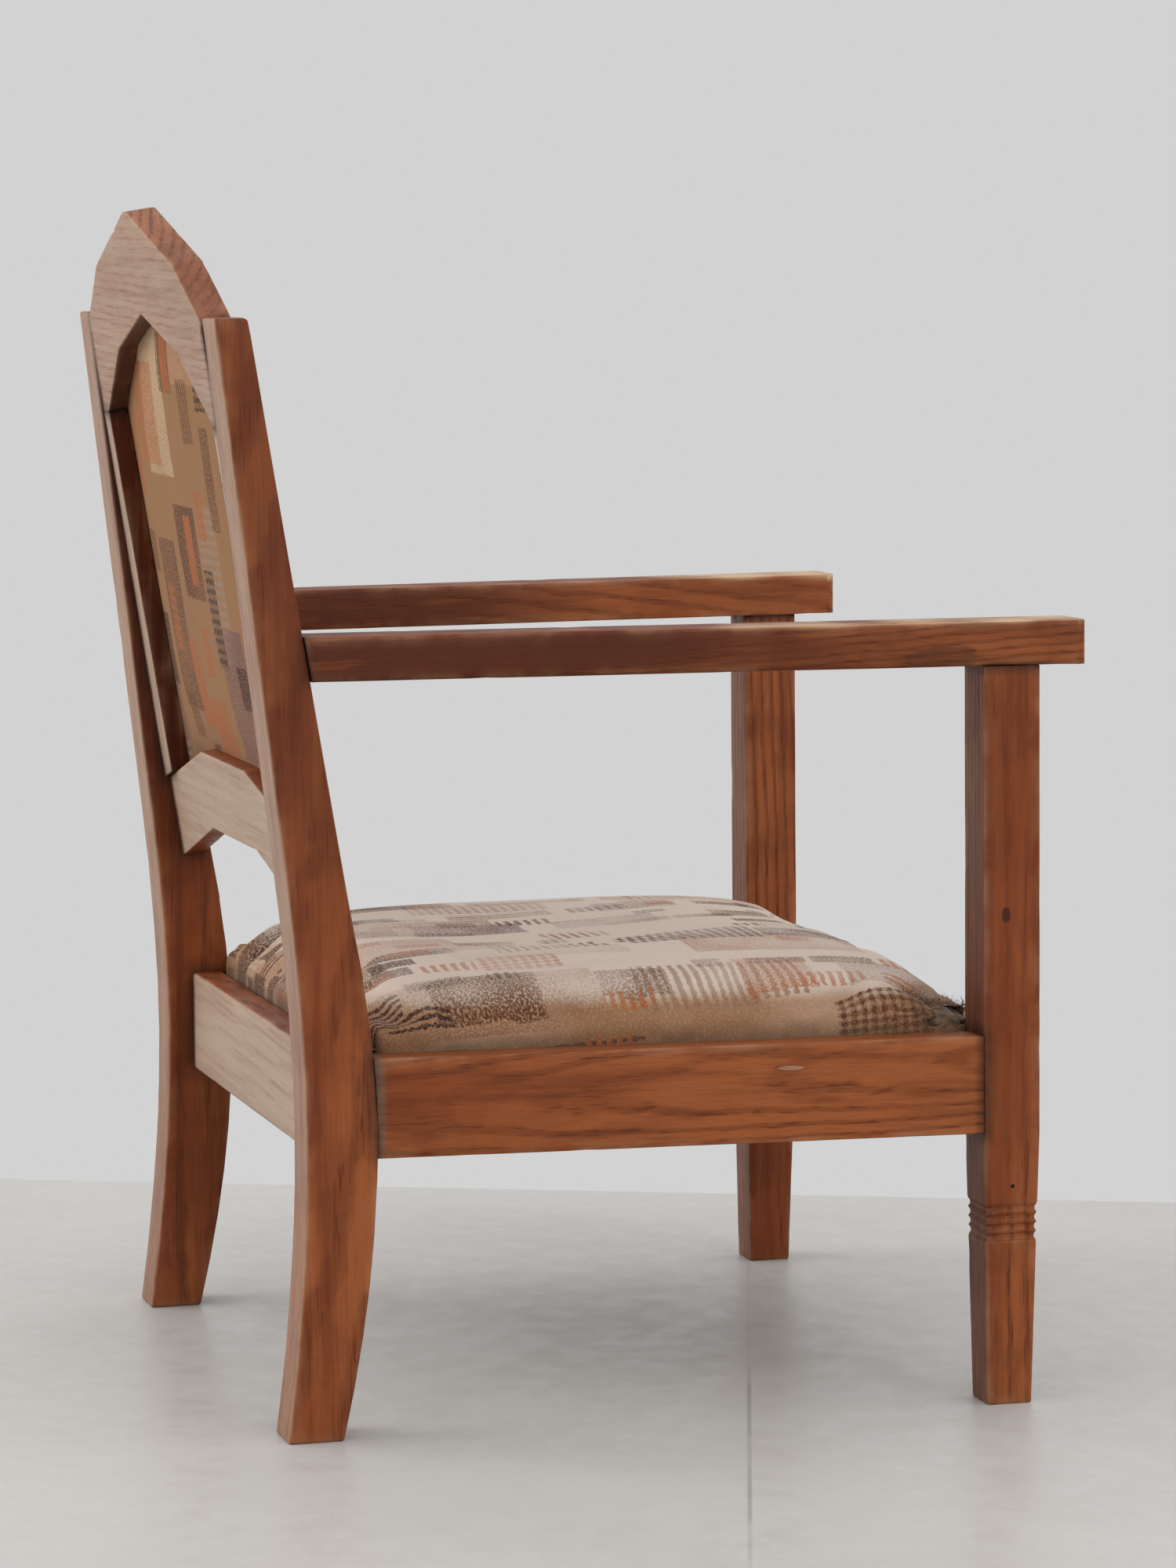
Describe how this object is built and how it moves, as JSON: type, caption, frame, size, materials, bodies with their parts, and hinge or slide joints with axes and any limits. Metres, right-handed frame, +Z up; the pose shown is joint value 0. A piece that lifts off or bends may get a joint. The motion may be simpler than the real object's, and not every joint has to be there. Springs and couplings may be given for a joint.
{
  "type": "armchair",
  "caption": "Low worn oak armchair with a slack drop-in seat pad, an upholstered back panel under a faceted crest, flat arms and fluted front legs.",
  "frame": {"origin": "on the floor, under the middle of the chair's overall box", "axes": "+Z up, the sitter faces -Y, the sitter's left is +X"},
  "size_m": [0.6306, 0.6438, 0.8796],
  "materials": {
    "stained_oak": "worn satin stain",
    "plain_wood": "bare, dusty",
    "cover_cloth": "worn pile",
    "webbing": "coarse jute",
    "base_cloth": "open jute weave",
    "stuffing": "matted hair",
    "nail_steel": "dull, rusty"
  },
  "bodies": {
    "root": {"front_leg_right": "stained_oak", "front_leg_left": "stained_oak", "back_post_right": "stained_oak", "back_post_left": "stained_oak", "arm_right": "stained_oak", "arm_left": "stained_oak", "side_rail_right": "stained_oak", "side_rail_left": "stained_oak", "front_rail": "stained_oak", "rear_rail": "stained_oak", "crest_rail": "stained_oak", "back_stile_right": "stained_oak", "back_stile_left": "stained_oak", "mid_rail": "stained_oak", "corner_brace_front_right": "plain_wood", "corner_brace_front_left": "plain_wood", "corner_brace_rear_right": "plain_wood", "corner_brace_rear_left": "plain_wood", "nail_front_side_right": "nail_steel", "nail_front_side_left": "nail_steel", "nail_front_end_right": "nail_steel", "nail_front_end_left": "nail_steel", "nail_rear_side_right": "nail_steel", "nail_rear_side_left": "nail_steel", "nail_rear_end_right": "nail_steel", "nail_rear_end_left": "nail_steel", "seat_bearer_right": "plain_wood", "seat_bearer_left": "plain_wood", "panel_frame_bottom": "plain_wood", "panel_frame_side_right": "plain_wood", "panel_frame_side_left": "plain_wood", "panel_frame_top_right": "plain_wood", "panel_frame_top_left": "plain_wood", "back_webbing_1": "webbing", "back_webbing_2": "webbing", "back_webbing_3": "webbing", "back_webbing_4": "webbing", "back_cover_rear": "cover_cloth", "back_cover_front": "cover_cloth", "back_stuffing": "stuffing", "seat_cover": "cover_cloth", "seat_stuffing": "stuffing", "seat_frame_front": "plain_wood", "seat_frame_rear": "plain_wood", "seat_frame_side_right": "plain_wood", "seat_frame_side_left": "plain_wood", "seat_webbing_long_1": "webbing", "seat_webbing_long_2": "webbing", "seat_webbing_long_3": "webbing", "seat_webbing_cross_1": "webbing", "seat_webbing_cross_2": "webbing", "seat_webbing_cross_3": "webbing", "seat_base_cloth": "base_cloth"}
  },
  "joints": []
}
